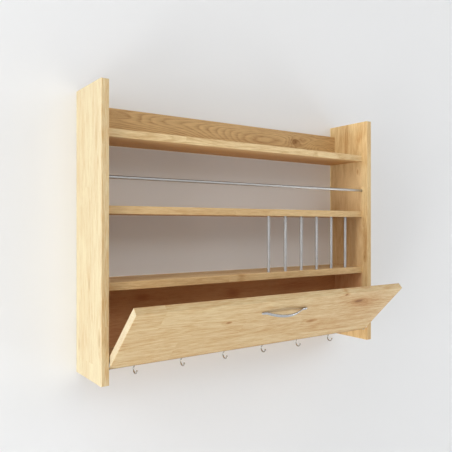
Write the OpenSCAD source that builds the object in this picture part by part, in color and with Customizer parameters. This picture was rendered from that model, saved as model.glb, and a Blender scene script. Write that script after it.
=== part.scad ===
// Wall plate rack in solid oak: two side panels carry a back rail, three shelves
// and a bottom board. A flap closes the box between the lower shelf and the bottom
// board, six rods part the plates, one rod runs across the upper bay and six cup
// hooks hang below. Millimetres, +Z up, the front faces -Y, the wall is at Y = 0.
// The origin lies on the wall, midway between the two keyhole hangers.

/* [Rack] */
// Overall width across the side panels
rack_w = 900; // [760:10:1200]
// Height of the side panels
rack_h = 690; // [670:5:760]
// Depth of the side panels, from the wall to their front edges
rack_d = 160; // [140:5:200]
// Thickness of the side panels, shelves, rail and back board
board_t = 19; // [16:0.5:22]
// Rounding of the boards' long edges
edge_r = 1.5; // [0.5:0.25:2.5]

/* [Shelves] */
// Underside of the bottom board above the feet of the side panels
bottom_up = 33; // [30:1:40]
// Clear height of each bay between two boards
bay_h = 158; // [145:1:165]
// Height of the back rail that stands on the top shelf
rail_h = 74; // [60:1:80]
// How far the rail and the box's back board stay off the wall
back_gap = 2; // [2:0.5:4]

/* [Flap] */
// Thickness of the flap
flap_t = 19; // [17:0.5:20]
// Gap between the closed flap and the shelf behind it
flap_back_gap = 1; // [0.5:0.5:3]
// Gap between each end of the flap and its side panel
flap_side_gap = 2; // [1.5:0.25:3]
// How far the closed flap rises above the lower shelf's top face
flap_lip = 9.5; // [2:0.5:14]
// How much of the bottom board's edge shows below the closed flap
flap_reveal = 3.5; // [3:0.5:6]
// Angle at which the flap rests open on its stop pins
flap_open = 45; // [35:1:48]
// Pivot's distance behind the flap's front face
pivot_in = 8; // [7:0.5:9]
// Pivot's height above the flap's lower edge
pivot_up = 9; // [8:0.5:10]
// Room between the flap's swinging lower corner and the bottom board
sweep_gap = 1.8; // [0.6:0.2:4]
// Diameter of the pivot pins
pivot_d = 8; // [6:0.5:8]
// Length of a pivot pin inside the flap's end
pivot_grip = 25; // [15:1:40]
// Length of a pivot bush inside the side panel
bush_l = 12; // [8:1:13]
// Wall thickness of a pivot bush
bush_wall = 2; // [1.5:0.25:2.5]
// Diameter of the collar that keeps the flap's end off the panel
collar_d = 16; // [14:0.5:18]
// Thickness of that collar
collar_t = 1.4; // [0.8:0.1:1.4]
// Diameter of the stop pins that the open flap's lower edge rests on
stop_d = 5; // [3:0.5:5]
// How far a stop pin stands out of the side panel
stop_out = 6; // [5:0.5:16]
// Depth to which a stop pin is let into the side panel
stop_seat = 11; // [8:0.5:13]
// Gap between the open flap and its stop pins
stop_gap = 0.2; // [0.1:0.05:0.4]

/* [Handle] */
// Distance between the handle's two screws
grip_centres = 128; // [96:1:160]
// How far each foot reaches beyond its screw
foot_tip = 12; // [9:0.5:16]
// How far the bow's end lies inside its screw
bow_in = 4; // [3:0.5:8]
// Height of the bow's centre line over the flap's face
bow_h = 17; // [14:0.5:26]
// Width of the bow at its middle
bow_w = 9; // [6:0.5:11]
// Thickness of the bow
bow_t = 4; // [2.5:0.25:5]
// Width of a foot at its widest
foot_w = 8.5; // [7:0.5:12]
// Thickness of a foot
foot_t = 4; // [3:0.25:5]
// Handle's distance below the flap's upper edge
grip_drop = 45; // [30:1:90]
// Diameter of the handle's screws
grip_screw_d = 4; // [3:0.5:4]
// Diameter of the head of a handle screw
grip_head_d = 8; // [7:0.5:10]
// Thickness of that head
grip_head_t = 2.6; // [2:0.2:3.2]
// How far a handle screw bites into its foot
grip_bite = 2.4; // [2:0.1:2.6]

/* [Rods] */
// Diameter of the rods
rod_d = 8; // [5:0.5:9]
// Depth to which a rod's end is let into the wood
rod_seat = 10; // [6:0.5:13]
// Height of the cross rod's centre above the middle shelf
cross_up = 66; // [40:1:110]
// Cross rod's centre behind the shelves' front edges
cross_in = 3; // [1:0.5:30]
// Spacing of the divider rods, counted from the right side panel
divider_pitch = 62; // [45:1:80]
// Divider rods' centres behind the shelves' front edges
divider_in = 15; // [12:1:60]

/* [Hooks] */
// Distance from each side panel to the nearest hook
hook_inset = 96; // [60:1:140]
// Hooks' distance from the wall
hook_back = 87; // [60:1:100]
// Diameter of the hook wire
wire_d = 3.4; // [2.6:0.2:4]
// Radius of the hook's bowl, to the middle of the wire
bowl_r = 9.25; // [7:0.25:11]
// How far the bowl's centre lies in front of the shank
bowl_fwd = 4.5; // [3:0.25:5.5]
// Depth of the bowl's centre below the bottom board
bowl_down = 26; // [23:0.5:32]
// Radius of the small bend between shank and bowl
neck_r = 4; // [3:0.25:5]
// Angle by which the bowl's end rises past its foremost point, or stays short of it
tip_rise = -12; // [-20:1:30]
// Diameter of the ball at the hook's end
tip_d = 4.6; // [4:0.2:6]
// Diameter of the hook's collar against the wood
hook_collar_d = 10; // [8:0.5:14]
// Thickness of that collar
hook_collar_t = 1.6; // [1:0.2:3]
// Depth to which a hook's screw goes into the bottom board
hook_screw = 14; // [8:1:14]

/* [Dowels] */
// Diameter of the dowels that join the boards to the side panels
dowel_d = 8; // [6:1:8]
// Depth of a dowel in the side panel
dowel_side = 12; // [8:1:13]
// Depth of a dowel in a board's end
dowel_board = 22; // [15:1:30]
// Dowels' distance from a board's front and rear edges
dowel_in = 28; // [18:1:34]

/* [Hangers] */
// Distance from each side panel's inner face to its keyhole
hang_inset = 131; // [60:1:200]
// Length of a hanger plate
plate_l = 60; // [50:1:70]
// Height of a hanger plate
plate_h = 36; // [32:1:44]
// Radius of the keyhole's round entry
key_r = 5.5; // [5:0.25:6.5]
// Half width of the keyhole's neck
neck_slot_r = 2.6; // [2.2:0.1:3]
// Height of the neck's end above the entry's centre
neck_up = 11; // [9:0.5:13]
// Depth of the pocket for the wall screw's head, behind the plate
pocket_deep = 9; // [6:0.5:12]
// Diameter of the hanger screws
hang_screw_d = 3.6; // [3:0.2:4]
// Diameter of a hanger screw's flush head
hang_head_d = 7; // [6:0.5:8]
// Length of a hanger screw inside the rail
hang_screw_l = 13; // [8:1:14]

/* [Hidden] */
$fn = 64;
// radial clearance of a pin, dowel, rod or screw in its hole
fit = 0.05;
// free space at the closed end of such a hole
end_gap = 0.5;
// overlap that makes a cut run clean through a face
cut = 1;
// inner width between the side panels, and half of it
inner_w = rack_w - 2 * board_t;
inner_x = inner_w / 2;
front_y = -rack_d;
// front edges of the shelves, just behind the closed flap
shelf_y = front_y + flap_t + flap_back_gap;
// the rail's centre is the height of the origin above the panels' feet
rail_foot = bottom_up + 3 * (bay_h + board_t) + board_t;
foot_z = -(rail_foot + rail_h / 2);
// undersides of the four horizontal boards: bottom board, lower, middle, top shelf
board_z = [for (i = [0:3]) foot_z + bottom_up + i * (bay_h + board_t)];
// rail and back board: middle of their thickness
back_y = -back_gap - board_t / 2;
// closed flap, and the pivot that it turns on
flap_z = board_z[0] + flap_reveal;
flap_h = board_z[1] + board_t + flap_lip - flap_z;
flap_x = inner_x - flap_side_gap;
pivot_y = front_y + pivot_in;
pivot_z = flap_z + pivot_up;
bush_r = pivot_d / 2 + fit + bush_wall;
// stop pin: it meets the flat of the open flap's lower edge, near its front
stop_u = pivot_in - edge_r - 1;
stop_n = pivot_up + stop_d / 2 + stop_gap;
stop_y = pivot_y + stop_n * sin(flap_open) - stop_u * cos(flap_open);
stop_z = pivot_z - stop_n * cos(flap_open) - stop_u * sin(flap_open);
// front edge of the bottom board, behind the arc of the flap's lower rear corner
bottom_y = pivot_y + norm([flap_t - pivot_in, pivot_up]) + sweep_gap;
// cross rod and divider rods; every rod and every hook is a piece of its own
divider_n = 6;
hook_n = 6;
cross_y = shelf_y + cross_in;
cross_z = board_z[2] + board_t + cross_up;
divider_y = shelf_y + divider_in;
divider_x = [for (i = [1:divider_n]) inner_x - (divider_n + 1 - i) * divider_pitch];
// hooks: even spacing between the two end hooks
hook_pitch = (inner_w - 2 * hook_inset) / (hook_n - 1);
hook_x = [for (i = [0:hook_n - 1]) -inner_x + hook_inset + i * hook_pitch];
// hangers: half the distance between the two keyholes, and their screws
hang_x = inner_x - hang_inset;
plate_screw_x = plate_l / 2 - 7;
// dowels in the side panels, as [y, z]: two in each board, rail and back board
dowel_front = shelf_y + dowel_in;
dowel_rear = -dowel_in;
shelf_dowels = [for (i = [1:3], y = [dowel_front, dowel_rear]) [y, board_z[i] + board_t / 2]];
bottom_dowels = [for (y = [dowel_front, dowel_rear]) [y, board_z[0] + board_t / 2]];
rail_dowels = [for (s = [-1, 1]) [back_y, s * rail_h / 4]];
back_mid = (board_z[0] + board_t + board_z[1]) / 2;
back_dowels = [for (s = [-1, 1]) [back_y, back_mid + s * bay_h / 4]];
all_dowels = concat(shelf_dowels, bottom_dowels, rail_dowels, back_dowels);
// colours of the oiled oak, its end grain and the metal
oak = [0.80, 0.66, 0.45];
oak_light = [0.85, 0.73, 0.53];
beech = [0.82, 0.68, 0.50];
satin = [0.72, 0.73, 0.74];
bright = [0.80, 0.81, 0.82];

// rectangle w by h from the origin, its four corners rounded by r
module rounded(w, h, r) {
    translate([r, 0]) square([w - 2 * r, h]);
    translate([0, r]) square([w, h - 2 * r]);
    for (x = [r, w - r], y = [r, h - r]) translate([x, y]) circle(r);
}

// rectangle with only the two corners at x = 0 rounded, a shelf's front edge
module front_rounded(w, h, r) {
    translate([r, 0]) square([w - r, h]);
    translate([0, r]) square([w, h - 2 * r]);
    for (y = [r, h - r]) translate([r, y]) circle(r);
}

// carries a profile drawn in Y and Z along X, centred, over the length l
module along_x(l) {
    translate([-l / 2, 0, 0]) rotate([90, 0, 90]) linear_extrude(l) children();
}

// round bar along X from x0 to x1, through the point y, z
module bar_x(x0, x1, y, z, r) {
    translate([x0, y, z]) rotate([0, 90, 0]) cylinder(r = r, h = x1 - x0);
}

// round bar along Z from z0 to z1
module bar_z(x, y, z0, z1, r) {
    translate([x, y, z0]) cylinder(r = r, h = z1 - z0);
}

// round bar along Y from y0 to y1
module bar_y(x, y0, y1, z, r) {
    translate([x, y1, z]) rotate([90, 0, 0]) cylinder(r = r, h = y1 - y0);
}

// dowel holes of the named points, on both sides, in panels and boards alike
module dowel_holes(points) {
    deep = dowel_side + end_gap;
    into = dowel_board + end_gap;
    for (p = points, s = [-1, 1])
        bar_x(
            s > 0 ? inner_x - into : -inner_x - deep,
            s > 0 ? inner_x + deep : -inner_x + into,
            p[0], p[1], dowel_d / 2 + fit
        );
}

// turns what is drawn with the flap closed to where the open flap rests
module with_flap() {
    translate([0, pivot_y, pivot_z]) rotate([flap_open, 0, 0])
        translate([0, -pivot_y, -pivot_z]) children();
}

// side panel: a board with all its edges rounded and its blind holes on the inside
module side_panel(side) {
    x0 = side > 0 ? inner_x : -inner_x - board_t;
    face = side > 0 ? inner_x : -inner_x;
    difference() {
        intersection() {
            translate([x0, front_y, foot_z])
                linear_extrude(rack_h) rounded(board_t, rack_d, edge_r);
            translate([side * (inner_x + board_t / 2), front_y, foot_z])
                along_x(board_t + 2 * cut) rounded(rack_d, rack_h, edge_r);
        }
        dowel_holes(all_dowels);
        blind_x(face, side, rod_seat, cross_y, cross_z, rod_d / 2);
        blind_x(face, side, bush_l, pivot_y, pivot_z, bush_r);
        blind_x(face, side, stop_seat, stop_y, stop_z, stop_d / 2);
    }
}

// blind hole that starts at a side panel's inner face
module blind_x(face, side, deep, y, z, r) {
    a = face - side * cut;
    b = face + side * (deep + end_gap);
    bar_x(min(a, b), max(a, b), y, z, r + fit);
}

// board between the side panels, with a rounded front edge
module cross_board(y, z) {
    translate([0, y, z]) along_x(inner_w) front_rounded(-y, board_t, edge_r);
}

// sockets for the divider rods' ends in the face at height z, running up or down
module divider_sockets(z, up) {
    deep = rod_seat + end_gap;
    for (x = divider_x)
        bar_z(
            x, divider_y, up > 0 ? z - cut : z - deep, up > 0 ? z + deep : z + cut,
            rod_d / 2 + fit
        );
}

module left_side_panel() color(oak_light) side_panel(-1);

module right_side_panel() color(oak_light) side_panel(1);

// rail: stands on the top shelf, with a pocket behind each keyhole for a screw head
module back_rail() color(oak) {
    z0 = -rail_h / 2;
    difference() {
        translate([0, back_y - board_t / 2, z0])
            along_x(inner_w) rounded_top(board_t, rail_h, edge_r);
        dowel_holes(rail_dowels);
        for (s = [-1, 1]) {
            head_slot(s * hang_x, -back_gap - pocket_deep, -back_gap + cut);
            for (t = [-1, 1])
                bar_y(
                    s * hang_x + t * plate_screw_x, -back_gap - hang_screw_l - end_gap,
                    -back_gap + cut, 0, hang_screw_d / 2 + fit
                );
        }
    }
}

// rail section: only its two upper corners are rounded
module rounded_top(w, h, r) {
    square([w, h - r]);
    translate([r, 0]) square([w - 2 * r, h]);
    for (x = [r, w - r]) translate([x, h - r]) circle(r);
}

// upright slot for a screw head, from the keyhole's entry up past its neck
module head_slot(x, y0, y1) {
    r = key_r + 1.5;
    bar_y(x, y0, y1, 0, r);
    bar_y(x, y0, y1, neck_up, r);
    translate([x - r, y0, 0]) cube([2 * r, y1 - y0, neck_up]);
}

module top_shelf() color(oak)
    difference() {
        cross_board(shelf_y, board_z[3]);
        dowel_holes(shelf_dowels);
    }

module middle_shelf() color(oak)
    difference() {
        cross_board(shelf_y, board_z[2]);
        dowel_holes(shelf_dowels);
        divider_sockets(board_z[2], 1);
    }

module lower_shelf() color(oak)
    difference() {
        cross_board(shelf_y, board_z[1]);
        dowel_holes(shelf_dowels);
        divider_sockets(board_z[1] + board_t, -1);
    }

module bottom_board() color(oak)
    difference() {
        cross_board(bottom_y, board_z[0]);
        dowel_holes(bottom_dowels);
        for (x = hook_x)
            bar_z(
                x, -hook_back, board_z[0] - cut, board_z[0] + hook_screw + end_gap,
                shank_r + fit
            );
    }

// back board of the box that the flap closes
module box_back() color(oak)
    difference() {
        translate([0, back_y - board_t / 2, board_z[0] + board_t])
            along_x(inner_w) square([board_t, bay_h]);
        dowel_holes(back_dowels);
    }

// rod across the upper bay, let into both side panels
module cross_rod() color(satin)
    bar_x(-inner_x - rod_seat, inner_x + rod_seat, cross_y, cross_z, rod_d / 2);

// upright rod between the lower and the middle shelf
module divider_rod(i) color(satin)
    bar_z(
        divider_x[i - 1], divider_y, board_z[1] + board_t - rod_seat,
        board_z[2] + rod_seat, rod_d / 2
    );

// flap: a board with all long edges rounded, drilled for its pins and its handle
module flap_panel() color(oak_light)
    with_flap() difference() {
        intersection() {
            translate([0, front_y, flap_z]) along_x(2 * flap_x) rounded(flap_t, flap_h, edge_r);
            translate([-flap_x, front_y, flap_z - cut])
                linear_extrude(flap_h + 2 * cut) rounded(2 * flap_x, flap_t, edge_r);
        }
        for (s = [-1, 1]) {
            a = s * (flap_x + cut);
            b = s * (flap_x - pivot_grip - end_gap);
            bar_x(min(a, b), max(a, b), pivot_y, pivot_z, pivot_d / 2 + fit);
            bar_y(
                s * grip_centres / 2, front_y - cut, front_y + flap_t + cut,
                grip_z, grip_screw_d / 2 + fit
            );
        }
    }

// height of the handle's middle on the closed flap
grip_z = flap_z + flap_h - grip_drop;

// bow handle. Along its length u it has a height over the flap's face, a width and a
// thickness: an arc between the two screws runs out smoothly into two flat feet
half_bow = grip_centres / 2 - bow_in;
half_grip = grip_centres / 2 + foot_tip;
foot_mid = foot_t / 2 - 0.5;
bow_rise = bow_h - foot_mid;
bow_arc = (half_bow * half_bow + bow_rise * bow_rise) / (2 * bow_rise);
// height of the arc's middle line, and its smooth union with the flat foot
function arc_h(u) = bow_h - bow_arc + sqrt(bow_arc * bow_arc - u * u);
function soft_max(a, b, k) = (a + b + sqrt((a - b) * (a - b) + k * k)) / 2;
function line_h(u) = soft_max(arc_h(u), foot_mid, 1.6);
// 0 on the bow, 1 on the foot, with a smooth step round the bow's end
function on_foot(u) =
    let (t = min(1, max(0, (abs(u) - half_bow + 8) / 14))) t * t * (3 - 2 * t);
// narrowing of the bow towards its ends, and the round tip of a foot
function taper(u) = 1 - 0.2 * pow(min(1, abs(u) / half_bow), 2);
foot_round = foot_w * 0.9;
function tip(u) =
    let (t = max(0, (abs(u) - half_grip + foot_round) / foot_round)) sqrt(max(0, 1 - t * t));
function grip_w(u) = (bow_w * taper(u) * (1 - on_foot(u)) + foot_w * on_foot(u)) * tip(u);
function grip_t(u) =
    (bow_t * (1 - on_foot(u)) + foot_t * on_foot(u)) * pow(tip(u), 0.5);
// stations along the handle, closer together at its rounded tips
grip_u = concat(
    [for (i = [0:7]) -half_grip + foot_round * (1 - sin(90 * (1 - (i + 0.3) / 8)))],
    [for (i = [0:40]) (i / 20 - 1) * (half_grip - foot_round)],
    [for (i = [7:-1:0]) half_grip - foot_round * (1 - sin(90 * (1 - (i + 0.3) / 8)))]
);
grip_sides = 20;
// squared round section: sine and cosine drawn towards the corners, by an exponent
// that is 1 on an oval and 0 on a box
section_round = 0.5;
function squared(v) = sign(v) * pow(abs(v), section_round);
function grip_ring(u) = [
    for (k = [0:grip_sides - 1]) [
        u,
        -line_h(u) - grip_t(u) / 2 * squared(sin(360 * k / grip_sides)),
        grip_w(u) / 2 * squared(cos(360 * k / grip_sides))
    ]
];

module grip_solid() {
    n = len(grip_u);
    m = grip_sides;
    points = [for (u = grip_u) each grip_ring(u)];
    sides = [
        for (i = [0:n - 2], k = [0:m - 1])
            each let (a = i * m + k, b = i * m + (k + 1) % m)
                [[a, b, b + m], [a, b + m, a + m]]
    ];
    caps = [[for (k = [m - 1:-1:0]) k], [for (k = [0:m - 1]) (n - 1) * m + k]];
    polyhedron(points, concat(sides, caps));
}

module flap_handle() color(bright)
    with_flap() translate([0, front_y, grip_z]) difference() {
        grip_solid();
        // the feet are cut flat where they lie on the flap
        translate([-half_grip - cut, 0, -foot_w]) cube([2 * (half_grip + cut), foot_w, 2 * foot_w]);
        for (s = [-1, 1])
            bar_y(s * grip_centres / 2, -grip_bite - 0.2, cut, 0, grip_screw_d / 2 + fit);
    }

// handle screws: from behind through the flap into the feet
module handle_screws() color(satin)
    with_flap() for (s = [-1, 1]) {
        x = s * grip_centres / 2;
        y = front_y + flap_t;
        bar_y(x, front_y - grip_bite, y + cut / 2, grip_z, grip_screw_d / 2);
        intersection() {
            bar_y(x, y, y + grip_head_t, grip_z, grip_head_d / 2);
            translate([x, y - grip_head_d / 2 + grip_head_t, grip_z]) sphere(grip_head_d * 0.6);
        }
    }

// pivot pin: fixed in the flap's end, turning in the side panel's bush
module pivot_pin(side) color(satin) {
    a = side * (flap_x - pivot_grip);
    b = side * (inner_x + bush_l - end_gap);
    with_flap() bar_x(min(a, b), max(a, b), pivot_y, pivot_z, pivot_d / 2);
}

// pivot bush: a sleeve in the side panel with a collar on its inner face
module pivot_bush(side) color([0.9, 0.9, 0.88]) {
    a = side * inner_x;
    b = side * (inner_x + bush_l);
    c = side * (inner_x - collar_t);
    difference() {
        union() {
            bar_x(min(a, b), max(a, b), pivot_y, pivot_z, bush_r);
            bar_x(min(a, c), max(a, c), pivot_y, pivot_z, collar_d / 2);
        }
        bar_x(
            min(c, b) - cut, max(c, b) + cut, pivot_y, pivot_z, pivot_d / 2 + fit
        );
    }
}

// stop pin: let into the side panel, under the open flap's lower edge
module stop_pin(side) color(satin) {
    a = side * (inner_x - stop_out);
    b = side * (inner_x + stop_seat);
    bar_x(min(a, b), max(a, b), stop_y, stop_z, stop_d / 2);
}

// arc of round wire in the plane of Y and Z. Angles count from straight ahead (-Y)
// towards straight up; py and pz are the arc's centre
module wire_arc(x, py, pz, r, from, to) {
    translate([x, py, pz]) rotate([0, 0, -90]) rotate([90, 0, 0]) rotate([0, 0, from])
        rotate_extrude(angle = to - from) translate([r, 0]) circle(wire_d / 2, $fn = 32);
}

// what the bead where neck and bowl meet adds to the wire's radius
bead = 0.03;
// the shank is a hair thicker than the wire and reaches just over the bend's end
shank_r = wire_d / 2 + 0.05;
shank_lap = 0.3;

// cup hook: screw, collar and shank, a small bend back, then the open bowl with a
// ball at its end. The two bends touch where their centres' line crosses the wire
module cup_hook(i) color(bright) {
    x = hook_x[i - 1];
    y = -hook_back;
    z = board_z[0];
    cz = z - bowl_down;
    reach = neck_r + bowl_r;
    side = bowl_fwd + neck_r;
    nz = cz + sqrt(reach * reach - side * side);
    meet = acos(side / reach);
    bar_z(x, y, nz - shank_lap, z + hook_screw, shank_r);
    bar_z(x, y, z - hook_collar_t, z, hook_collar_d / 2);
    translate([x, y, z - hook_collar_t - 1.2])
        cylinder(r1 = shank_r, r2 = shank_r + 1.2, h = 1.2);
    translate([x, y - bowl_fwd + bowl_r * cos(meet), cz + bowl_r * sin(meet)])
        sphere(wire_d / 2 + bead, $fn = 32);
    wire_arc(x, y + neck_r, nz, neck_r, -meet, 0);
    wire_arc(x, y - bowl_fwd, cz, bowl_r, 180 - meet, 360 + tip_rise);
    translate([
        x, y - bowl_fwd - bowl_r * cos(tip_rise), cz + bowl_r * sin(tip_rise)
    ]) sphere(tip_d / 2, $fn = 32);
}

// hanger plate: steel, flush with the wall, with a keyhole and two flush screws
module hanger_plate(side) color(satin) {
    x = side * hang_x;
    r = 3;
    difference() {
        translate([x - plate_l / 2, 0, (neck_up - plate_h) / 2]) rotate([90, 0, 0])
            linear_extrude(back_gap) rounded(plate_l, plate_h, r);
        bar_y(x, -back_gap - cut, cut, 0, key_r);
        bar_y(x, -back_gap - cut, cut, neck_up, neck_slot_r);
        translate([x - neck_slot_r, -back_gap - cut, 0])
            cube([2 * neck_slot_r, back_gap + 2 * cut, neck_up]);
        for (t = [-1, 1]) hanger_screw(x + t * plate_screw_x, fit);
    }
}

// countersunk screw of a hanger plate, or with a clearance g the hole that it needs
module hanger_screw(x, g) {
    r0 = hang_screw_d / 2 + g;
    r1 = hang_head_d / 2 + g;
    bar_y(x, -back_gap - hang_screw_l, 0, 0, r0);
    translate([x, -back_gap, 0]) rotate([-90, 0, 0]) cylinder(r1 = r0, r2 = r1, h = back_gap);
}

module hanger_screws() color(satin)
    for (s = [-1, 1], t = [-1, 1]) hanger_screw(s * hang_x + t * plate_screw_x, 0);

// dowels of one side panel, with chamfered ends
module dowels(side) color(beech)
    for (p = all_dowels) {
        r = dowel_d / 2;
        a = side * (inner_x - dowel_board);
        b = side * (inner_x + dowel_side);
        x0 = min(a, b);
        x1 = max(a, b);
        bar_x(x0 + 1, x1 - 1, p[0], p[1], r);
        translate([x0, p[0], p[1]]) rotate([0, 90, 0]) cylinder(r1 = r - 0.8, r2 = r, h = 1);
        translate([x1 - 1, p[0], p[1]]) rotate([0, 90, 0]) cylinder(r1 = r, r2 = r - 0.8, h = 1);
    }

left_side_panel();
right_side_panel();
back_rail();
top_shelf();
middle_shelf();
lower_shelf();
bottom_board();
box_back();
cross_rod();
divider_rod(1);  // divider_rod_1
divider_rod(2);  // divider_rod_2
divider_rod(3);  // divider_rod_3
divider_rod(4);  // divider_rod_4
divider_rod(5);  // divider_rod_5
divider_rod(6);  // divider_rod_6
flap_panel();
flap_handle();
handle_screws();
pivot_pin(-1);  // pivot_pin_left
pivot_pin(1);  // pivot_pin_right
pivot_bush(-1);  // pivot_bush_left
pivot_bush(1);  // pivot_bush_right
stop_pin(-1);  // stop_pin_left
stop_pin(1);  // stop_pin_right
cup_hook(1);  // cup_hook_1
cup_hook(2);  // cup_hook_2
cup_hook(3);  // cup_hook_3
cup_hook(4);  // cup_hook_4
cup_hook(5);  // cup_hook_5
cup_hook(6);  // cup_hook_6
hanger_plate(-1);  // hanger_plate_left
hanger_plate(1);  // hanger_plate_right
hanger_screws();
dowels(-1);  // dowels_left
dowels(1);  // dowels_right
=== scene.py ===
import math
import bpy
import bmesh
from mathutils import Matrix, Vector


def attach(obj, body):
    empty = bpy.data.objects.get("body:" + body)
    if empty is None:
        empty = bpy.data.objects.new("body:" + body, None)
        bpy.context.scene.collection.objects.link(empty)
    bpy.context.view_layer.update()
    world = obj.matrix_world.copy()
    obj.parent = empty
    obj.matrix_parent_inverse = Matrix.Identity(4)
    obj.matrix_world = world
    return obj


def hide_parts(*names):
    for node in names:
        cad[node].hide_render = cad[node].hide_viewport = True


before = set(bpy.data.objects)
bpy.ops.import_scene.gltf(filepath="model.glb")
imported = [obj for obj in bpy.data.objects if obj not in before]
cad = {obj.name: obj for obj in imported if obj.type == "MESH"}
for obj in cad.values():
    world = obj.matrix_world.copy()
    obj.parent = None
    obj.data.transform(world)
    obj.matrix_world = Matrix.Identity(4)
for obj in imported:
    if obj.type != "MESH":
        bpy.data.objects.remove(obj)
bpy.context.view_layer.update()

# ---------------------------------------------------------------- room and camera
# The rack hangs on a plain white wall, seen from its left, level with its middle bay.
# Soft round lamps stand all round it, the stronger ones on the left, and a pale floor
# lies far below.
scene = bpy.context.scene
scene.view_settings.view_transform = "Standard"
lens = bpy.data.cameras.new("eye")
lens.sensor_width = 36
lens.lens = 43.37
camera = bpy.data.objects.new("eye", lens)
camera.location = (-0.9163, -1.3126, -0.2610)
camera.rotation_euler = (math.radians(90), 0, math.radians(-34.93))
scene.collection.objects.link(camera)
scene.camera = camera


def new_node(tree, kind, inputs=None, out=0, **options):
    """Adds a shader node. A given socket is linked, any other value is set."""
    made = tree.nodes.new("ShaderNode" + kind)
    for key, value in options.items():
        setattr(made, key, value)
    for key, value in (inputs or {}).items():
        if isinstance(value, bpy.types.NodeSocket):
            tree.links.new(value, made.inputs[key])
        else:
            made.inputs[key].default_value = value
    return made.outputs[out]


def calculator(tree):
    """Gives a function that adds a Math node to the tree."""
    def calc(operation, a, b=0.0, c=0.0):
        return new_node(tree, "Math", {0: a, 1: b, 2: c}, operation=operation)

    return calc


def graded(tree, value, low, high, at_low=0.0, at_high=1.0):
    """Turns a value between low and high into one between at_low and at_high."""
    return new_node(tree, "MapRange", {0: value, 1: low, 2: high, 3: at_low, 4: at_high})


def new_material(name):
    """An empty finish: the material, its node tree and its surface's sockets."""
    finish = bpy.data.materials.new(name)
    finish.use_nodes = True
    tree = finish.node_tree
    return finish, tree, tree.nodes["Principled BSDF"].inputs


def room_plane(name, middle, u, v, paint):
    """A rectangle round its middle, spanned by the half sides u and v."""
    middle, u, v = Vector(middle), Vector(u), Vector(v)
    shape = bmesh.new()
    corners = (middle - u - v, middle + u - v, middle + u + v, middle - u + v)
    shape.faces.new([shape.verts.new(corner) for corner in corners])
    mesh = bpy.data.meshes.new(name)
    shape.to_mesh(mesh)
    shape.free()
    mesh.materials.append(paint)
    plane = bpy.data.objects.new(name, mesh)
    scene.collection.objects.link(plane)


# the wall is clear from behind, and to what leaves the rear faces that touch it, so
# that the rack's back can be seen and lit
wall_paint, tree, surface = new_material("wall_paint")
white = new_node(tree, "BsdfDiffuse", {"Color": (0.855, 0.862, 0.870, 1)})
clear = new_node(tree, "BsdfTransparent")
behind = new_node(tree, "NewGeometry", out="Backfacing")
reach = new_node(tree, "LightPath", out="Ray Length")
calc = calculator(tree)
gone = calc("MAXIMUM", behind, calc("LESS_THAN", reach, 0.006))
wall = new_node(tree, "MixShader", {0: gone, 1: white, 2: clear})
tree.links.new(wall, tree.nodes["Material Output"].inputs["Surface"])
wall_gap, floor_z = 0.0006, -3.2
room_plane("wall", (0, wall_gap, 0), (5, 0, 0), (0, 0, 4), wall_paint)

floor_paint, tree, surface = new_material("floor_paint")
surface["Base Color"].default_value = (0.80, 0.80, 0.79, 1)
surface["Roughness"].default_value = 0.9
room_plane("floor", (0, 0, floor_z), (6, 0, 0), (0, 6, 0), floor_paint)

world = bpy.data.worlds.new("room_light")
scene.world = world
world.use_nodes = True
tree = world.node_tree
path = new_node(tree, "LightPath").node.outputs
seen = calculator(tree)("MAXIMUM", path["Is Camera Ray"], path["Is Glossy Ray"])
way = new_node(tree, "TexCoord", out="Generated")
way = new_node(tree, "SeparateXYZ", {0: way}, out=2)
sky = graded(tree, way, 0.1, 0.6, 0.80, 0.05)
level = new_node(tree, "Mix", {0: seen, 2: 0.30, 3: sky})
tree.nodes["Background"].inputs["Color"].default_value = (1, 1, 1, 1)
tree.links.new(level, tree.nodes["Background"].inputs["Strength"])

# lamps: degrees round to the left of the rack's front, degrees up, and power in watts
rack_middle = Vector((0, -0.10, -0.28))
lamp_far, lamp_wide, off_wall = 4.2, 2.0, 1.15
lamps = (
    (78, -32, 74), (78, 0, 56), (78, 32, 43), (60, 65, 25), (0, 32, 22), (-40, 32, 16),
    (0, -25, 10), (-78, -32, 38), (-78, 18, 32), (165, 20, 40), (-165, 20, 40),
)
for number, (left, up, power) in enumerate(lamps):
    left, up = math.radians(left), math.radians(up)
    way = Vector((-math.sin(left) * math.cos(up), -math.cos(left) * math.cos(up), math.sin(up)))
    data = bpy.data.lights.new(f"lamp_{number}", "AREA")
    data.shape = "DISK"
    data.size = lamp_wide
    data.energy = power
    lamp = bpy.data.objects.new(data.name, data)
    lamp.location = rack_middle + way * lamp_far
    if way.y < 0:
        lamp.location.y = min(lamp.location.y, -off_wall)
    lamp.rotation_euler = (rack_middle - lamp.location).to_track_quat("-Z", "Y").to_euler()
    scene.collection.objects.link(lamp)

# ---------------------------------------------------------------- left side panel
# The side panel is an oak board, glued up from upright staves, rounded on its edges and
# oiled. It carries every shelf on dowels. Its outer face is painted with a greyer colour,
# the washed-out look of the strong light from the left, and painted shade browns its
# inner face inside the box and the bays.


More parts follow.
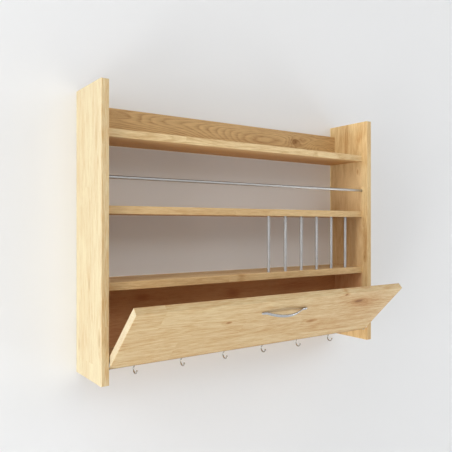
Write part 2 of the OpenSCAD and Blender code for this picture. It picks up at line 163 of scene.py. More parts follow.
def oak_timber():
    """Node group of solid oak. Point is a place in the board, in metres: X along the
    grain, Y across the board, Z through it. Stave and Length are the size of the pieces
    the board is glued up from, Ring is the growth rings' spacing, Figure how strongly
    they show, Heart and Lean where the log's heart lies and how it slopes, Spread how
    much these two differ from piece to piece, Swell bends rings, Core darkens a knot."""
    tree = bpy.data.node_groups.new("oak_timber", "ShaderNodeTree")
    tree.interface.new_socket("Point", in_out="INPUT", socket_type="NodeSocketVector")
    for name in (
        "Seed", "Stave", "Length", "Ring", "Figure", "Spread", "Heart", "Lean", "Swell", "Core",
    ):
        tree.interface.new_socket(name, in_out="INPUT", socket_type="NodeSocketFloat")
    for name in ("Tone", "Pores", "Height"):
        tree.interface.new_socket(name, in_out="OUTPUT", socket_type="NodeSocketFloat")
    given = tree.nodes.new("NodeGroupInput").outputs
    calc = calculator(tree)

    def parts(vector):
        return new_node(tree, "SeparateXYZ", {0: vector}).node.outputs

    def vector(x, y, z):
        return new_node(tree, "CombineXYZ", {0: x, 1: y, 2: z})

    def grain(along, across, detail, drift):
        """Noise drawn out along the grain, between -0.5 and 0.5."""
        place = new_node(
            tree, "VectorMath", {0: shifted, 1: (along, across, across)}, operation="MULTIPLY"
        )
        place = new_node(tree, "VectorMath", {0: place, 1: (drift, 0, 0)}, operation="ADD")
        raw = new_node(tree, "TexNoise", {"Vector": place, "Scale": 1.0, "Detail": detail})
        return calc("SUBTRACT", raw, 0.5)

    along, across, through = parts(given["Point"])
    seed = given["Seed"]
    # staves side by side, each jointed lengthwise from shorter pieces
    row = calc("MULTIPLY_ADD", seed, 0.37, calc("DIVIDE", across, given["Stave"]))
    stave = calc("FLOOR", row)
    in_stave = calc("MULTIPLY", calc("SUBTRACT", calc("FRACT", row), 0.5), given["Stave"])
    luck = new_node(tree, "TexWhiteNoise", {"Vector": vector(stave, seed, 0.0)})
    run = calc("MULTIPLY_ADD", luck, 9.0, calc("DIVIDE", along, given["Length"]))
    piece = calc("FLOOR", run)
    in_piece = calc("MULTIPLY", calc("SUBTRACT", calc("FRACT", run), 0.5), given["Length"])
    own = new_node(tree, "TexWhiteNoise", {"Vector": vector(stave, piece, seed)}, out="Color")
    side, depth, slope = parts(own)
    drift = calc("MULTIPLY_ADD", side, 3.0, calc("MULTIPLY", seed, 1.7))
    # the fibres wave a little from side to side
    wave = vector(calc("MULTIPLY", along, 7.0), calc("MULTIPLY", across, 6.0), drift)
    wave = new_node(tree, "TexNoise", {"Vector": wave, "Scale": 1.0, "Detail": 2.0})
    wave = calc("MULTIPLY", calc("SUBTRACT", wave, 0.5), 0.009)
    place = vector(drift, wave, calc("ADD", drift, wave))
    shifted = new_node(tree, "VectorMath", {0: given["Point"], 1: place}, operation="ADD")
    # rings round the log's heart, which lies off to one side of the piece
    offset = calc("MULTIPLY", calc("MULTIPLY_ADD", side, 0.10, -0.05), given["Spread"])
    dy = calc("SUBTRACT", calc("SUBTRACT", in_stave, offset), given["Heart"])
    dz = calc("ADD", through, calc("MULTIPLY_ADD", depth, 0.05, 0.014))
    radius = calc("SQRT", calc("MULTIPLY_ADD", dy, dy, calc("MULTIPLY", dz, dz)))
    lean = calc("MULTIPLY", calc("MULTIPLY_ADD", slope, 0.09, -0.045), given["Spread"])
    lean = calc("ADD", lean, given["Lean"])
    radius = calc("MULTIPLY_ADD", in_piece, lean, radius)
    radius = calc("MULTIPLY_ADD", grain(2.6, 11.0, 2.0, 4.1), 0.016, radius)
    radius = calc("MULTIPLY_ADD", grain(11.0, 70.0, 2.0, 8.3), 0.0022, radius)
    phase = calc("FRACT", calc("DIVIDE", calc("ADD", radius, given["Swell"]), given["Ring"]))
    rise = calc("DIVIDE", phase, 0.25)
    fall = calc("DIVIDE", calc("SUBTRACT", 1.0, phase), 0.75)
    ring = calc("SUBTRACT", calc("POWER", calc("MINIMUM", rise, fall), 1.4), 0.4)
    strength = calc("MULTIPLY_ADD", grain(3.0, 24.0, 1.0, 2.2), 1.6, 0.8)
    ring = calc("MULTIPLY", calc("MULTIPLY", ring, strength), given["Figure"])
    # broad bands, streaks and single fibres, then the pores as short dark strokes
    tone = calc("MULTIPLY_ADD", grain(1.6, 30.0, 1.0, 0.0), 0.45, 0.42)
    tone = calc("MULTIPLY_ADD", grain(9.0, 70.0, 3.0, 5.2), 0.36, tone)
    tone = calc("MULTIPLY_ADD", grain(16.0, 190.0, 2.0, 3.7), 0.38, tone)
    tone = calc("MULTIPLY_ADD", grain(26.0, 420.0, 2.0, 7.7), 0.70, tone)
    tone = calc("MULTIPLY_ADD", grain(45.0, 1100.0, 1.0, 6.1), 0.60, tone)
    tone = calc("MULTIPLY_ADD", calc("SUBTRACT", luck, 0.5), 0.10, tone)
    tone = calc("ADD", calc("ADD", tone, ring), given["Core"])
    pores = grain(130.0, 2600.0, 1.0, 1.3)
    pores = graded(tree, pores, 0.12, 0.18)
    pores = calc("MULTIPLY", pores, calc("MULTIPLY_ADD", ring, 1.2, 0.5))
    height = calc("MULTIPLY_ADD", ring, -0.3, calc("MULTIPLY", pores, -1.0))
    out = tree.nodes.new("NodeGroupOutput").inputs
    for name, value in (("Tone", tone), ("Pores", pores), ("Height", height)):
        tree.links.new(value, out[name])
    return tree


timber = oak_timber()
panel_inner, shelf_front = 0.431, -0.140
box_floor, box_ceiling, bay_ceiling = -0.568, -0.410, -0.056
# painted shade: the brown laid inside the box and, weaker, in the bays over it
box_shade_brown = (0.566, 0.249, 0.114)


def knots_of(tree, point, knots):
    """Bends the rings round each knot and darkens its core. A knot is its place along
    and across the board, half its length and width, how far it lifts the rings, all in
    metres, and how dark it is. One that lifts nothing is a cloud, which can be a pale
    one, of less than no darkness."""
    along, across, _ = new_node(tree, "SeparateXYZ", {0: point}).node.outputs
    calc = calculator(tree)

    def bump(spread, size, total):
        return calc("MULTIPLY_ADD", calc("EXPONENT", calc("MULTIPLY", far, -spread)), size, total)

    swell, core = 0.0, 0.0
    for u, v, long, wide, lift, dark in knots:
        du = calc("DIVIDE", calc("SUBTRACT", along, u), long)
        dv = calc("DIVIDE", calc("SUBTRACT", across, v), wide)
        far = calc("MULTIPLY_ADD", du, du, calc("MULTIPLY", dv, dv))
        if lift:
            swell = bump(0.5, lift, swell)
        if dark:
            core = bump(0.5, dark * 0.3, bump(2.2, dark, core))
    return swell, core


def blended(tree, amount, under, over):
    """Lays one colour over another by an amount. Each is a socket or its three shares."""
    under, over = (
        colour if isinstance(colour, bpy.types.NodeSocket) else (*colour, 1)
        for colour in (under, over)
    )
    return new_node(tree, "Mix", {"Factor": amount, 6: under, 7: over}, out=2, data_type="RGBA")


def dress(tree, surface, colour, rough, bump):
    """Links a finish's colour, roughness and bump."""
    tree.links.new(colour, surface["Base Color"])
    tree.links.new(rough, surface["Roughness"])
    tree.links.new(bump, surface["Normal"])


def oak(name, grain, seed, pale, deep, stave=0.046, length=0.41, ring=0.0034, figure=0.26,
        heart=None, knots=(), lit_left_tint=None, under=0.0, box_shade=0.0, shade_band_z=None, closed=None):
    """Oiled oak of one board. grain names the axes along, across and through it, pale
    and deep are its light and dark wood, and heart sets where the log's heart lies and
    how it slopes. bleached is a colour painted on faces that look left, the washed-out
    look of the strong light from there, under how much painted shade browns a downward
    face, boxed how much painted shade browns the oak inside the box, with a third of that
    in the bays over it, rubbed the height of a lower edge along which a band of painted
    shade runs, and closed the turn that takes the open flap to the closed one."""
    wood, tree, surface = new_material(name)
    calc = calculator(tree)
    point = new_node(tree, "TexCoord", out="Object")
    normal = new_node(tree, "TexCoord", out="Normal")
    if closed:
        point, normal = (
            new_node(
                tree, "VectorRotate", {"Vector": vector, "Center": middle, "Angle": closed[1]},
                rotation_type="X_AXIS",
            )
            for vector, middle in ((point, closed[0]), (normal, (0, 0, 0)))
        )
    axes = new_node(tree, "SeparateXYZ", {0: point}).node.outputs
    facing = new_node(tree, "SeparateXYZ", {0: normal}).node.outputs
    order = ["xyz".index(letter) for letter in grain]
    point = new_node(tree, "CombineXYZ", {i: axes[k] for i, k in enumerate(order)})
    swell, core = knots_of(tree, point, knots)
    board = tree.nodes.new("ShaderNodeGroup")
    board.node_tree = timber
    for key, value in (
        ("Point", point), ("Seed", seed), ("Stave", stave), ("Length", length),
        ("Ring", ring), ("Figure", figure), ("Spread", 0.0 if heart else 1.0),
        ("Heart", heart[0] if heart else 0.0), ("Lean", heart[1] if heart else 0.0),
        ("Swell", swell), ("Core", core),
    ):
        if isinstance(value, bpy.types.NodeSocket):
            tree.links.new(value, board.inputs[key])
        else:
            board.inputs[key].default_value = value
    tone, pores, height = board.outputs

    # from pale early wood over deep late wood to the dark of a knot
    pale, deep = Vector(pale), Vector(deep)
    darkest = 1.35
    ramp = new_node(tree, "ValToRGB", {0: calc("MULTIPLY", tone, 1 / darkest)}).node
    steps = ramp.color_ramp.elements
    steps[0].color = (*(pale * 1.08), 1)
    steps[1].color = (*(deep * Vector((0.50, 0.38, 0.25))), 1)
    for share, shade in ((0.35, pale.lerp(deep, 0.22)), (0.75, deep)):
        steps.new(share / darkest).color = (*shade, 1)
    colour = ramp.outputs[0]

    # painted shade: the brown that downward faces are laid over with further down
    under_shade_brown = deep * Vector((0.85, 0.66, 0.44))
    # painted light: faces that look left take on a paler, greyer colour, the washed-out look of the
    # strong light from the left
    if lit_left_tint:
        left = graded(tree, facing["X"], -0.4, -1.0, 0.0, 0.35)
        colour = blended(tree, left, colour, lit_left_tint)
    # painted shade: downward faces are browned, least at the shelves' front edges and most towards
    # the wall
    if under:
        downward_shade = graded(tree, facing["Z"], -0.3, -1.0, 0.0, under)
        shade_inward = graded(tree, axes["Y"], shelf_front - 0.001, shelf_front + 0.06, 0.45, 1.0)
        colour = blended(tree, calc("MULTIPLY", downward_shade, shade_inward), colour, under_shade_brown)
    if box_shade:
        # painted shade, browning the oak inside the box and, weaker, in the bays over it: from
        # the box's floor to its ceiling and on to the bays', from the shelves' front edges to the
        # box back, and between the side panels
        inside = box_shade
        for value, low, high, at_low, at_high in (
            (axes["Z"], box_floor - 0.004, box_floor + 0.006, 0.0, 1.0),
            (axes["Z"], box_ceiling - 0.006, box_ceiling + 0.006, 1.0, 0.35),
            (axes["Z"], bay_ceiling - 0.039, bay_ceiling - 0.004, 1.0, 0.0),
            (axes["Y"], shelf_front - 0.005, shelf_front + 0.008, 0.0, 1.0),
            (axes["Y"], -0.008, -0.004, 1.0, 0.0),
            (calc("ABSOLUTE", axes["X"]), panel_inner + 0.005, panel_inner + 0.009, 1.0, 0.0),
        ):
            inside = calc("MULTIPLY", inside, graded(tree, value, low, high, at_low, at_high))
        colour = blended(tree, inside, colour, box_shade_brown)
    # painted shade: the lowest few millimetres of the flap are darkened, fading out 4.5 mm above
    # its lower edge
    if shade_band_z:
        edge = graded(tree, axes["Z"], shade_band_z + 0.0045, shade_band_z + 0.0020, 0.0, 0.80)
        colour = blended(tree, edge, colour, deep * 0.45)

    # end grain drinks more oil, pores hold it, and hands have polished the round edges,
    # which also get a painted highlight: a paler colour along them
    end = graded(tree, calc("ABSOLUTE", facing[order[0]]), 0.5, 0.9, 0.0, 0.12)
    colour = blended(tree, calc("MULTIPLY_ADD", pores, 0.45, end), colour, deep * 0.4)
    flat = new_node(tree, "VectorMath", {0: normal}, operation="ABSOLUTE")
    flat = new_node(tree, "SeparateXYZ", {0: flat}).node.outputs
    most = calc("MAXIMUM", calc("MAXIMUM", flat[0], flat[1]), flat[2])
    patchy = new_node(tree, "TexNoise", {"Vector": point, "Scale": 55.0, "Detail": 2.0})
    patchy = graded(tree, patchy, 0.35, 0.6, 0.12, 0.38)
    edge_highlight_and_polish = calc("MULTIPLY", graded(tree, most, 0.96, 0.75), patchy)
    colour = blended(tree, edge_highlight_and_polish, colour, pale * 1.15)
    rough = calc("MULTIPLY_ADD", edge_highlight_and_polish, -0.25, graded(tree, tone, 0.0, 1.0, 0.50, 0.62))
    bump = new_node(tree, "Bump", {"Strength": 0.35, "Distance": 0.00025, "Height": height})
    dress(tree, surface, colour, rough, bump)
    surface["Specular IOR Level"].default_value = 0.35
    return wood


def finish_node(name, finish):
    """Gives a CAD node its finish."""
    cad[name].data.materials.clear()
    cad[name].data.materials.append(finish)


finish_node("left_side_panel", oak(
    "oak_left_side", "zyx", 1, pale=(0.765, 0.63, 0.375), deep=(0.61, 0.37, 0.15), ring=0.0036,
    figure=0.20, lit_left_tint=(0.40, 0.44, 0.355), box_shade=0.6, knots=(
        (-0.396, -0.086, 0.016, 0.0035, 0.004, 0.55),
        (-0.517, -0.147, 0.022, 0.005, 0.006, 0.60),
        (-0.117, -0.141, 0.008, 0.003, 0.003, 0.45),
        (-0.060, -0.130, 0.030, 0.004, 0.0, 0.30),
        (-0.550, -0.020, 0.020, 0.006, 0.004, 0.35),
        (-0.470, -0.105, 0.008, 0.003, 0.002, 0.35),
        (-0.430, -0.160, 0.170, 0.014, 0.0, 0.10),
    ),
))

# ---------------------------------------------------------------- right side panel
# The same board mirrored. Its inner face is in view: there the oak is warmer, with a
# small swirl round a knot by the top shelf, and painted shade browns it inside the box
# and the bays.
finish_node("right_side_panel", oak(
    "oak_right_side", "zyx", 2, pale=(0.755, 0.565, 0.29), deep=(0.54, 0.31, 0.115), ring=0.0040,
    box_shade=0.6, knots=(
        (-0.088, -0.121, 0.010, 0.0045, 0.005, 0.50),
        (-0.185, -0.142, 0.030, 0.008, 0.008, 0.12),
        (-0.360, -0.150, 0.010, 0.004, 0.004, 0.40),
        (-0.240, -0.145, 0.022, 0.006, 0.006, 0.15),
        (0.020, -0.100, 0.060, 0.080, 0.0, 0.14),
        (-0.300, -0.148, 0.090, 0.014, 0.0, 0.20),
        (-0.130, -0.080, 0.060, 0.090, 0.0, -0.42),
    ),
))

# ---------------------------------------------------------------- shelves and bottom board
# Four oak boards between the side panels, on two dowels at each end. Their front edges
# are rounded, and the bottom board is shallower, to clear the flap's swing.
shelf_pale, shelf_deep = (0.76, 0.55, 0.28), (0.54, 0.30, 0.115)
# each board's under is how much painted shade browns its underside
for number, (node, pale, deep, under, knots) in enumerate((
    ("top_shelf", (0.84, 0.65, 0.36), (0.58, 0.35, 0.14), 0.92, (
        (0.229, -0.139, 0.006, 0.0015, 0.001, 0.2), (-0.21, -0.13, 0.05, 0.01, 0.008, 0.1),
    )),
    ("middle_shelf", shelf_pale, shelf_deep, 0.85, ((0.04, -0.13, 0.03, 0.01, 0.007, 0.15),)),
    ("lower_shelf", shelf_pale, shelf_deep, 0.8, (
        (-0.047, -0.135, 0.018, 0.010, 0.005, 0.35), (0.29, -0.13, 0.03, 0.01, 0.006, 0.1),
    )),
    ("bottom_board", shelf_pale, shelf_deep, 0.25, ((0.1, -0.12, 0.03, 0.01, 0.006, 0.2),)),
)):
    finish_node(node, oak(
        "oak_" + node, "xyz", 3 + number, pale=pale, deep=deep, under=under, knots=knots,
    ))

# ---------------------------------------------------------------- box back
# The oak board that closes the box behind the flap, of darker wood, which stands partly
# for the shade in the box, and browned with painted shade on its face towards the box.
# It stands 2 mm off the wall on dowels in the side panels.
finish_node("box_back", oak(
    "oak_box_back", "xzy", 8, pale=(0.75, 0.53, 0.27), deep=(0.44, 0.22, 0.08), stave=0.079,
    length=1.4, box_shade=0.6, knots=(
        (-0.280, -0.448, 0.022, 0.010, 0.008, 0.60), (0.011, -0.457, 0.026, 0.014, 0.010, 0.70),
        (-0.100, -0.520, 0.110, 0.040, 0.0, 0.30), (0.260, -0.450, 0.120, 0.030, 0.0, 0.20),
    ),
))

# ---------------------------------------------------------------- back rail
# One piece of flat-sawn oak that stands on the top shelf. Its face shows a long arched
# figure at the left and a dark knot at the right; the hangers are let in behind it.
finish_node("back_rail", oak(
    "oak_rail", "xzy", 9, pale=(0.64, 0.43, 0.20), deep=(0.425, 0.237, 0.09), stave=0.20,
    length=3.0, ring=0.0042, figure=0.44, heart=(-0.015, -0.03), knots=(
        (0.253, 0.006, 0.018, 0.010, 0.014, 0.75), (0.12, -0.028, 0.145, 0.038, -0.050, 0.0),
        (0.363, 0.000, 0.040, 0.013, 0.018, 0.0), (-0.33, 0.02, 0.05, 0.008, 0.008, 0.1),
    ),
))

# ---------------------------------------------------------------- dowels
# Fluted beech dowels, glued half into the boards' ends and half into the side panels.
beech, tree, surface = new_material("beech_dowel")
point = new_node(tree, "TexCoord", out="Object")
long = new_node(tree, "VectorMath", {0: point, 1: (60, 900, 900)}, operation="MULTIPLY")
fleck = new_node(tree, "TexNoise", {"Vector": long, "Scale": 1.0, "Detail": 2.0})
fleck = graded(tree, fleck, 0.35, 0.65)
colour = blended(tree, fleck, (0.66, 0.45, 0.27), (0.52, 0.32, 0.18))
rough = graded(tree, fleck, 0.0, 1.0, 0.55, 0.70)
bump = new_node(tree, "Bump", {"Strength": 0.3, "Distance": 0.0001, "Height": fleck})
dress(tree, surface, colour, rough, bump)
for node in ("dowels_left", "dowels_right"):
    finish_node(node, beech)

# ---------------------------------------------------------------- cross rod
# Drawn steel bar, 8 mm thick, brushed to a satin finish. Its chamfered ends are let
# into both side panels, just behind the shelves' front edges.


def satin_metal(name, colour, rough, lines):
    """Brushed metal. lines is how often the brush lines repeat in a metre of X, Y, Z."""
    metal, tree, surface = new_material(name)
    point = new_node(tree, "TexCoord", out="Object")
    drawn = new_node(tree, "VectorMath", {0: point, 1: lines}, operation="MULTIPLY")
    line = new_node(tree, "TexNoise", {"Vector": drawn, "Scale": 1.0, "Detail": 3.0})
    cloud = new_node(tree, "TexNoise", {"Vector": point, "Scale": 45.0, "Detail": 3.0})
    both = graded(tree, calculator(tree)("ADD", line, cloud), 0.8, 1.2)
    colour = Vector(colour)
    shade = blended(tree, both, colour * 0.95, colour * 1.04)
    dull = graded(tree, both, 0.0, 1.0, rough + 0.04, rough - 0.03)
    bump = new_node(tree, "Bump", {"Strength": 0.15, "Distance": 0.00002, "Height": line})
    dress(tree, surface, shade, dull, bump)
    surface["Metallic"].default_value = 1.0
    return metal


def turned(shape, profile, place=Matrix(), closed=False, sides=40):
    """Spins a profile of radius and height, in millimetres, round the Z axis, puts it
    in place and adds it to the shape. A closed profile makes a ring."""
    lathe = bmesh.new()
    ring = [lathe.verts.new((radius / 1000, 0, height / 1000)) for radius, height in profile]
    pairs = list(zip(ring, ring[1:]))
    if closed:
        pairs.append((ring[-1], ring[0]))
    edges = [lathe.edges.new(pair) for pair in pairs]
    bmesh.ops.spin(
        lathe, geom=ring + edges, cent=(0, 0, 0), axis=(0, 0, 1), angle=math.tau,
        steps=sides, use_merge=True,
    )
    bmesh.ops.remove_doubles(lathe, verts=lathe.verts, dist=1e-6)
    lathe.transform(place)
    loose = bpy.data.meshes.new("turned")
    lathe.to_mesh(loose)
    lathe.free()
    shape.from_mesh(loose)
    bpy.data.meshes.remove(loose)


def make_piece(name, shape, finish, body, node, crease=35):
    """Finishes a mesh as the piece that stands for one CAD node."""
    bmesh.ops.recalc_face_normals(shape, faces=shape.faces)
    mesh = bpy.data.meshes.new(name)
    shape.to_mesh(mesh)
    shape.free()
    mesh.shade_smooth()
    mesh.set_sharp_from_angle(angle=math.radians(crease))
    mesh.materials.append(finish)
    piece = bpy.data.objects.new(name, mesh)
    scene.collection.objects.link(piece)
    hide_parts(node)
    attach(piece, body)


def bar(length, radius, chamfer):
    """Profile of a round bar with chamfered ends, from its lower end up."""
    return (
        (0, 0), (radius - chamfer, 0), (radius, chamfer), (radius, length - chamfer),
        (radius - chamfer, length), (0, length),
    )


def at(x, y, z, along="Z"):
    """Place in millimetres of something turned round Z, laid along one of the axes."""
    turn = {
        "X": Matrix.Rotation(math.radians(90), 4, "Y"),
        "Y": Matrix.Rotation(math.radians(-90), 4, "X"),
        "-X": Matrix.Rotation(math.radians(-90), 4, "Y"),
        "Z": Matrix(),
    }[along]
    return Matrix.Translation(Vector((x, y, z)) / 1000) @ turn


inner_x = 1000 * panel_inner
rod_r, rod_seat, rod_chamfer = 4, 10, 0.6
cross_y, cross_z = -137, -148
cross_steel = satin_metal("satin_steel_cross", (0.46, 0.46, 0.455), 0.36, (12, 900, 900))
shape = bmesh.new()
turned(
    shape, bar(2 * (inner_x + rod_seat), rod_r, rod_chamfer),
    at(-inner_x - rod_seat, cross_y, cross_z, "X"),
)
make_piece("cross_rod_drawn", shape, cross_steel, "rack", "cross_rod")

# ---------------------------------------------------------------- divider rods
# Six upright rods of the same bar, set in blind holes in the lower and the middle shelf
# to part the plates.
upright_steel = satin_metal("satin_steel_upright", (0.47, 0.475, 0.48), 0.58, (900, 900, 12))
first_rod_x, rod_pitch, upright_y = 59, 62, -125
lower_shelf_top, middle_shelf_under = -391, -233
rod_foot = lower_shelf_top - rod_seat
upright = bar(middle_shelf_under + rod_seat - rod_foot, rod_r, rod_chamfer)
for number in range(6):
    shape = bmesh.new()
    turned(shape, upright, at(first_rod_x + rod_pitch * number, upright_y, rod_foot))
    make_piece(
        f"divider_rod_{number + 1}_drawn", shape, upright_steel, "rack",
        f"divider_rod_{number + 1}",
    )

# ---------------------------------------------------------------- cup hooks
# Six hooks bent from nickelled wire: a screw in the bottom board, a pressed collar, a
# shank that bends back a little, an open bowl and a ball at its end.
nickel = satin_metal("satin_nickel", (0.40, 0.385, 0.345), 0.18, (500, 500, 60))
first_hook_x, hook_pitch = -335, 134
hook_y, hook_z = -87, -587
wire_r = 1.7
neck_r, bowl_r, bowl_fwd, bowl_down = 4, 9.25, 4.5, 26
tip_rise, tip_r = math.radians(-12), 2.3
bowl_z = hook_z - bowl_down
neck_z = bowl_z + math.sqrt((neck_r + bowl_r) ** 2 - (neck_r + bowl_fwd) ** 2)
meet = math.acos((neck_r + bowl_fwd) / (neck_r + bowl_r))
collar = (
    (0, 0), (4.5, 0), (4.9, -0.2), (5, -0.6), (4.85, -1.1), (4.4, -1.45), (3.6, -1.6),
    (2.85, -1.65), (2.2, -2.0), (1.8, -2.5), (1.6, -2.8), (0, -2.8),
)
thread_r, thread_core, thread_pitch = 1.75, 1.25, 1.05
hook_thread = [(0, 0)]
for turn in range(12):
    z = 0.2 + turn * thread_pitch
    hook_thread += [(thread_core, z), (thread_r, z + 0.35), (thread_core, z + 0.7)]
hook_thread += [(0.8, 13.4), (0, 14)]
for number in range(6):
    x = first_hook_x + hook_pitch * number
    shape = bmesh.new()
    bmesh.ops.create_circle(shape, cap_ends=True, radius=wire_r / 1000, segments=20)
    bmesh.ops.translate(shape, verts=shape.verts, vec=Vector((x, hook_y, hook_z - 1)) / 1000)
    rim = shape.edges[:]
    drawn = bmesh.ops.extrude_edge_only(shape, edges=rim)["geom"]
    verts = [part for part in drawn if isinstance(part, bmesh.types.BMVert)]
    bmesh.ops.translate(shape, verts=verts, vec=(0, 0, (neck_z - hook_z + 1) / 1000))
    for middle_y, middle_z, axis, angle, steps in (
        (hook_y + neck_r, neck_z, 1, meet, 8),
        (hook_y - bowl_fwd, bowl_z, -1, math.pi + meet + tip_rise, 36),
    ):
        edges = [part for part in drawn if isinstance(part, bmesh.types.BMEdge)]
        edges = [edge for edge in edges if all(vert in verts for vert in edge.verts)]
        drawn = bmesh.ops.spin(
            shape, geom=verts + edges, cent=Vector((x, middle_y, middle_z)) / 1000,
            axis=(axis, 0, 0), angle=angle, steps=steps,
        )["geom_last"]
        verts = [part for part in drawn if isinstance(part, bmesh.types.BMVert)]
    tip_y = hook_y - bowl_fwd - bowl_r * math.cos(tip_rise)
    tip_z = bowl_z + bowl_r * math.sin(tip_rise)
    bmesh.ops.create_uvsphere(
        shape, u_segments=24, v_segments=16, radius=tip_r / 1000, matrix=at(x, tip_y, tip_z),
    )
    turned(shape, collar, at(x, hook_y, hook_z), sides=32)
    turned(shape, hook_thread, at(x, hook_y, hook_z), sides=24)
    make_piece(
        f"cup_hook_{number + 1}_bent", shape, nickel, "rack", f"cup_hook_{number + 1}",
        crease=50,
    )

# ---------------------------------------------------------------- hangers
# Two zinc-plated keyhole plates, screwed on behind the rail and flush with the wall,
# each held by two countersunk screws with a cross recess.
zinc, tree, surface = new_material("zinc_plate")
point = new_node(tree, "TexCoord", out="Object")
crystal = new_node(tree, "TexVoronoi", {"Vector": point, "Scale": 420.0}, out="Color")
crystal = new_node(tree, "SeparateXYZ", {0: crystal})
haze = new_node(tree, "TexNoise", {"Vector": point, "Scale": 90.0, "Detail": 4.0})
both = graded(tree, calculator(tree)("MULTIPLY_ADD", crystal, 0.25, haze), 0.4, 0.9)
colour = blended(tree, both, (0.38, 0.395, 0.42), (0.45, 0.46, 0.475))
rough = graded(tree, both, 0.0, 1.0, 0.42, 0.34)
bump = new_node(tree, "Bump", {"Strength": 0.1, "Distance": 0.00002, "Height": haze})
dress(tree, surface, colour, rough, bump)
surface["Metallic"].default_value = 1.0
for node in ("hanger_plate_left", "hanger_plate_right"):
    finish_node(node, zinc)


def crossed_screw(shape, profile, land, place):
    """Screw whose profile runs from its point up to the rim of its flat land, of the
    given radius and at height 0, in which a tapered cross is sunk. In millimetres."""
    half, arm, deep, taper = 0.16 * land, 0.62 * land, 0.55 * land, 0.45
    head = bmesh.new()
    turned(head, profile, sides=48)
    rim = [edge for edge in head.edges if edge.is_boundary]
    corners = []
    for quarter in range(4):
        turn = Matrix.Rotation(math.radians(90 * quarter), 3, "Z")
        for u, v in ((arm, -half), (arm, half), (half, half)):
            corners.append(head.verts.new(turn @ Vector((u, v, 0)) / 1000))
    cross = [head.edges.new(pair) for pair in zip(corners, corners[1:] + corners[:1])]
    bmesh.ops.triangle_fill(head, edges=rim + cross, use_beauty=True)
    inside = [
        face for face in head.faces if all(vert in corners for vert in face.verts)
    ]
    bmesh.ops.delete(head, geom=inside, context="FACES_ONLY")
    sunk = bmesh.ops.extrude_edge_only(head, edges=cross)["geom"]
    low = [part for part in sunk if isinstance(part, bmesh.types.BMVert)]
    floor = [
        part for part in sunk
        if isinstance(part, bmesh.types.BMEdge) and all(vert in low for vert in part.verts)
    ]
    bmesh.ops.scale(head, verts=low, vec=(taper, taper, 1))
    bmesh.ops.translate(head, verts=low, vec=(0, 0, -deep / 1000))
    bmesh.ops.triangle_fill(head, edges=floor, use_beauty=True)
    head.transform(place)
    loose = bpy.data.meshes.new("screw")
    head.to_mesh(loose)
    head.free()
    shape.from_mesh(loose)
    bpy.data.meshes.remove(loose)


hanger_x, screw_off, screw_sunk = 300, 23, 0.02
head_r, shank_r, core_r, screw_pitch = 3.4, 1.8, 1.3, 1.25
wood_screw = [(0, -15), (0.7, -13.9)]
for turn in range(9):
    z = -13.4 + turn * screw_pitch
    wood_screw += [(core_r, z), (shank_r, z + 0.4), (core_r, z + 0.8)]
wood_screw += [(shank_r, -1.9), (head_r, -0.1), (head_r, 0)]
shape = bmesh.new()
for plate_x in (-hanger_x, hanger_x):
    for x in (plate_x - screw_off, plate_x + screw_off):
        crossed_screw(shape, wood_screw, head_r, at(x, -screw_sunk, 0, "Y"))
make_piece("hanger_screws_cut", shape, zinc, "rack", "hanger_screws")

# ---------------------------------------------------------------- flap
# Oak board with its grain along the rack, rounded on every edge. It hangs on two pins
# near its lower edge and is drilled through for the handle's screws.
flap_open = math.radians(45)
pivot = Vector((0, -0.152, -0.5745))
pivot_up = 0.009
# painted light and shade: the flap's left end gets the washed-out colour of the strong left light,
# its downward faces painted shade, and its lower edge a band of painted shade
finish_node("flap_panel", oak(
    "oak_flap", "xzy", 10, pale=(0.69, 0.55, 0.31), deep=(0.50, 0.27, 0.095), stave=0.066,
    length=1.4, ring=0.0042, figure=0.16, lit_left_tint=(0.68, 0.73, 0.60), under=0.7,
    shade_band_z=pivot.z - pivot_up, closed=(pivot, -flap_open), knots=(
        (0.274, pivot.z + 0.152, 0.024, 0.009, 0.014, 0.70),
        (0.197, pivot.z + 0.188, 0.007, 0.005, 0.005, 0.85),
        (0.136, pivot.z + 0.081, 0.020, 0.008, 0.008, 0.55),
        (-0.161, pivot.z + 0.122, 0.010, 0.005, 0.006, 0.68),
        (0.300, pivot.z + 0.140, 0.120, 0.070, 0.0, 0.22),
    ),
))

# ---------------------------------------------------------------- pivots and stops
# Steel pins in the flap's ends turn in white nylon bushes, whose collars keep the wood
# apart. The open flap comes to rest on two steel stop pins in the side panels.
with_flap = Matrix.Translation(pivot) @ Matrix.Rotation(flap_open, 4, "X")
with_flap = with_flap @ Matrix.Translation(-pivot)
pin_steel = satin_metal("zinc_pin", (0.52, 0.53, 0.55), 0.28, (700, 500, 500))
nylon, tree, surface = new_material("white_nylon")
point = new_node(tree, "TexCoord", out="Object")
flow = new_node(tree, "TexNoise", {"Vector": point, "Scale": 260.0, "Detail": 3.0})
flow = graded(tree, flow, 0.3, 0.7)
colour = blended(tree, flow, (0.80, 0.80, 0.77), (0.86, 0.86, 0.84))
rough = graded(tree, flow, 0.0, 1.0, 0.38, 0.50)
bump = new_node(tree, "Bump", {"Strength": 0.2, "Distance": 0.00004, "Height": flow})
dress(tree, surface, colour, rough, bump)

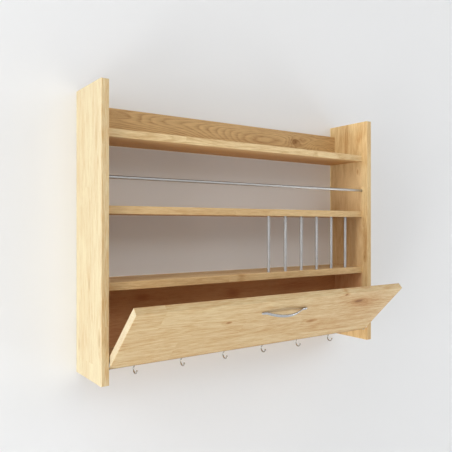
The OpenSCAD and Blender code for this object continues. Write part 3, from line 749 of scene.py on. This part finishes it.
flap_x, pin_grip, pin_r, pin_short, bush_l = 429, 25, 4, 0.5, 12
bush_r, bush_bore, collar_r, collar_t = 6.05, 4.05, 8, 1.4
bush = (
    (bush_bore, bush_l - 0.4), (bush_bore + 0.4, bush_l), (bush_r - 0.4, bush_l),
    (bush_r, bush_l - 0.4), (bush_r, 0), (collar_r - 0.1, 0), (collar_r, -0.2),
    (collar_r, -collar_t + 0.5), (collar_r - 0.5, -collar_t), (bush_bore + 0.4, -collar_t),
    (bush_bore, -collar_t + 0.4),
)
stop_r, stop_out, stop_seat = 2.5, 6, 11
stop_y, stop_z = -147.556, -586.216
stop = (
    (0, -stop_out), (stop_r - 0.9, -stop_out), (stop_r - 0.25, -stop_out + 0.25),
    (stop_r, -stop_out + 0.9), (stop_r, stop_seat - 0.5), (stop_r - 0.5, stop_seat),
    (0, stop_seat),
)
pin_y, pin_z = 1000 * pivot.y, 1000 * pivot.z
pin = bar(inner_x + bush_l - pin_short - flap_x + pin_grip, pin_r, 0.5)
for side, hand, along in (("left", -1, "-X"), ("right", 1, "X")):
    x = hand * inner_x
    shape = bmesh.new()
    turned(shape, pin, at(hand * (flap_x - pin_grip), pin_y, pin_z, along))
    make_piece(
        f"pivot_pin_{side}_turned", shape, pin_steel, "flap", f"pivot_pin_{side}",
    )
    shape = bmesh.new()
    turned(shape, bush, at(x, pin_y, pin_z, along), closed=True)
    make_piece(
        f"pivot_bush_{side}_moulded", shape, nylon, "rack", f"pivot_bush_{side}",
    )
    shape = bmesh.new()
    turned(shape, stop, at(x, stop_y, stop_z, along), sides=32)
    make_piece(
        f"stop_pin_{side}_turned", shape, pin_steel, "rack", f"stop_pin_{side}",
    )

# ---------------------------------------------------------------- flap handle
# Cast bow handle in satin nickel: a flat strap rises in one arc between two feet, which
# lie flat on the flap over its two screws.
half_bow, half_grip, bow_h, bow_w, bow_t = 60, 76, 17, 9, 4
foot_w, foot_t, foot_mid, foot_round = 8.5, 4, 1.5, 7.65
bow_rise = bow_h - foot_mid
bow_arc = (half_bow ** 2 + bow_rise ** 2) / (2 * bow_rise)
bend_soft, bow_taper, foot_inside, foot_run, boxy = 1.6, 0.2, 8, 14, 0.4
flap_front, flap_t, grip_z = -160, 19, -426.5


def grip_station(u):
    """Height of the middle line over the flap, width and thickness at u along the grip."""
    arc = bow_h - bow_arc + math.sqrt(bow_arc ** 2 - u ** 2)
    gap = arc - foot_mid
    line = foot_mid + (gap + math.sqrt(gap ** 2 + bend_soft ** 2)) / 2
    step = min(1, max(0, (abs(u) - half_bow + foot_inside) / foot_run))
    step = step * step * (3 - 2 * step)
    past = max(0, (abs(u) - half_grip + foot_round) / foot_round)
    tip = math.sqrt(max(0, 1 - past ** 2))
    narrow = 1 - bow_taper * min(1, abs(u) / half_bow) ** 2
    width = (bow_w * narrow * (1 - step) + foot_w * step) * tip
    return line, width, (bow_t * (1 - step) + foot_t * step) * math.sqrt(tip)


def squared(value):
    """Draws a sine or cosine out towards the corners."""
    return math.copysign(abs(value) ** boxy, value)


sides = 24
tips = [half_grip - foot_round * (1 - math.sin(math.radians(9 * i))) for i in range(1, 10)]
middle = [(half_grip - foot_round) * (i / 32 - 1) for i in range(65)]
shape = bmesh.new()
bmesh.ops.create_circle(shape, segments=sides, radius=0.001)
ring = shape.verts[:]
edges = shape.edges[:]
for number, u in enumerate([-u for u in reversed(tips)] + middle + tips):
    if number:
        drawn = bmesh.ops.extrude_edge_only(shape, edges=edges)["geom"]
        fresh = {part for part in drawn if isinstance(part, bmesh.types.BMVert)}
        ring = [
            next(end for end in (edge.other_vert(vert) for edge in vert.link_edges) if end in fresh)
            for vert in ring
        ]
        edges = [shape.edges.get((a, b)) for a, b in zip(ring, ring[1:] + ring[:1])]
    line, width, thick = grip_station(u)
    for k, vert in enumerate(ring):
        turn = math.tau * k / sides
        out = max(0, line + thick / 2 * squared(math.sin(turn)))
        vert.co = Vector((u, -out, width / 2 * squared(math.cos(turn)))) / 1000
bmesh.ops.holes_fill(shape, edges=shape.edges, sides=sides)
shape.transform(with_flap @ at(0, flap_front, grip_z))
grip_nickel = satin_metal("satin_nickel_grip", (0.50, 0.505, 0.52), 0.17, (40, 600, 600))
make_piece("flap_handle_cast", shape, grip_nickel, "flap", "flap_handle")

# ---------------------------------------------------------------- handle screws
# Two machine screws from behind through the flap into the handle's feet, with pan heads
# and cross recesses.
half_screws, head_h, head_land = 64, 2.6, 2.5
machine_screw = (
    (0, -24), (1.6, -24), (2.0, -23.4), (2.0, -head_h), (3.6, -head_h), (4.0, -2.3),
    (4.0, -1.5), (3.85, -0.8), (3.4, -0.3), (2.8, -0.05), (head_land, 0),
)
shape = bmesh.new()
for x in (-half_screws, half_screws):
    place = with_flap @ at(x, flap_front + flap_t + head_h, grip_z, "Y")
    crossed_screw(shape, machine_screw, head_land, place)
make_piece("handle_screws_cut", shape, zinc, "flap", "handle_screws")
